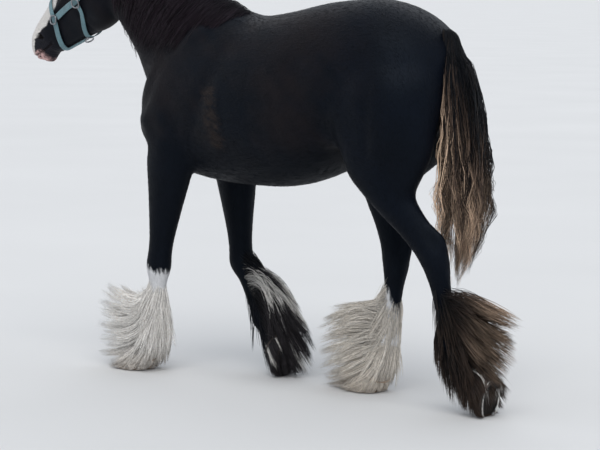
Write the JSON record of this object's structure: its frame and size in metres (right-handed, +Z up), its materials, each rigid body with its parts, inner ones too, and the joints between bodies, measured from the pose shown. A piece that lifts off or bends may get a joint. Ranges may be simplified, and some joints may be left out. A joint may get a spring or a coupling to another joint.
{
  "type": "horse",
  "caption": "Heavy-boned young cob horse at a walk, with long feathered legs, a long wavy tail and a webbing headcollar.",
  "frame": {"origin": "on the floor under the middle of the horse's overall length and width", "axes": "+Z up, -X the way the horse faces, -Y towards its near (left) side"},
  "size_m": [2.408, 0.5842, 1.8149],
  "materials": {
    "coat": "short glossy coat",
    "dark_hair": "long wavy hair",
    "pale_hair": "long silky hair",
    "horn": "hoof horn",
    "eye": "wet gloss",
    "webbing": "woven matte",
    "metal": "worn"
  },
  "bodies": {
    "root": {"forelock": "dark_hair", "head": "coat", "headpiece": "webbing", "jaw_ring": "metal", "jaw_strap": "webbing", "mane": "dark_hair", "near_cheek_ring": "metal", "near_ear": "coat", "near_eye": "eye", "near_fore_feather": "pale_hair", "near_fore_hoof": "horn", "near_fore_leg": "coat", "near_fore_shank": "coat", "near_hind_feather": "dark_hair", "near_hind_hoof": "horn", "near_hind_leg": "coat", "near_hind_shank": "coat", "near_nose_ring": "metal", "neck": "coat", "noseband": "webbing", "off_cheek_ring": "metal", "off_ear": "coat", "off_eye": "eye", "off_fore_feather": "dark_hair", "off_fore_hoof": "horn", "off_fore_leg": "coat", "off_fore_shank": "coat", "off_hind_feather": "pale_hair", "off_hind_hoof": "horn", "off_hind_leg": "coat", "off_hind_shank": "coat", "off_nose_ring": "metal", "tail": "dark_hair", "throat_strap": "webbing", "trunk": "coat"}
  },
  "joints": []
}
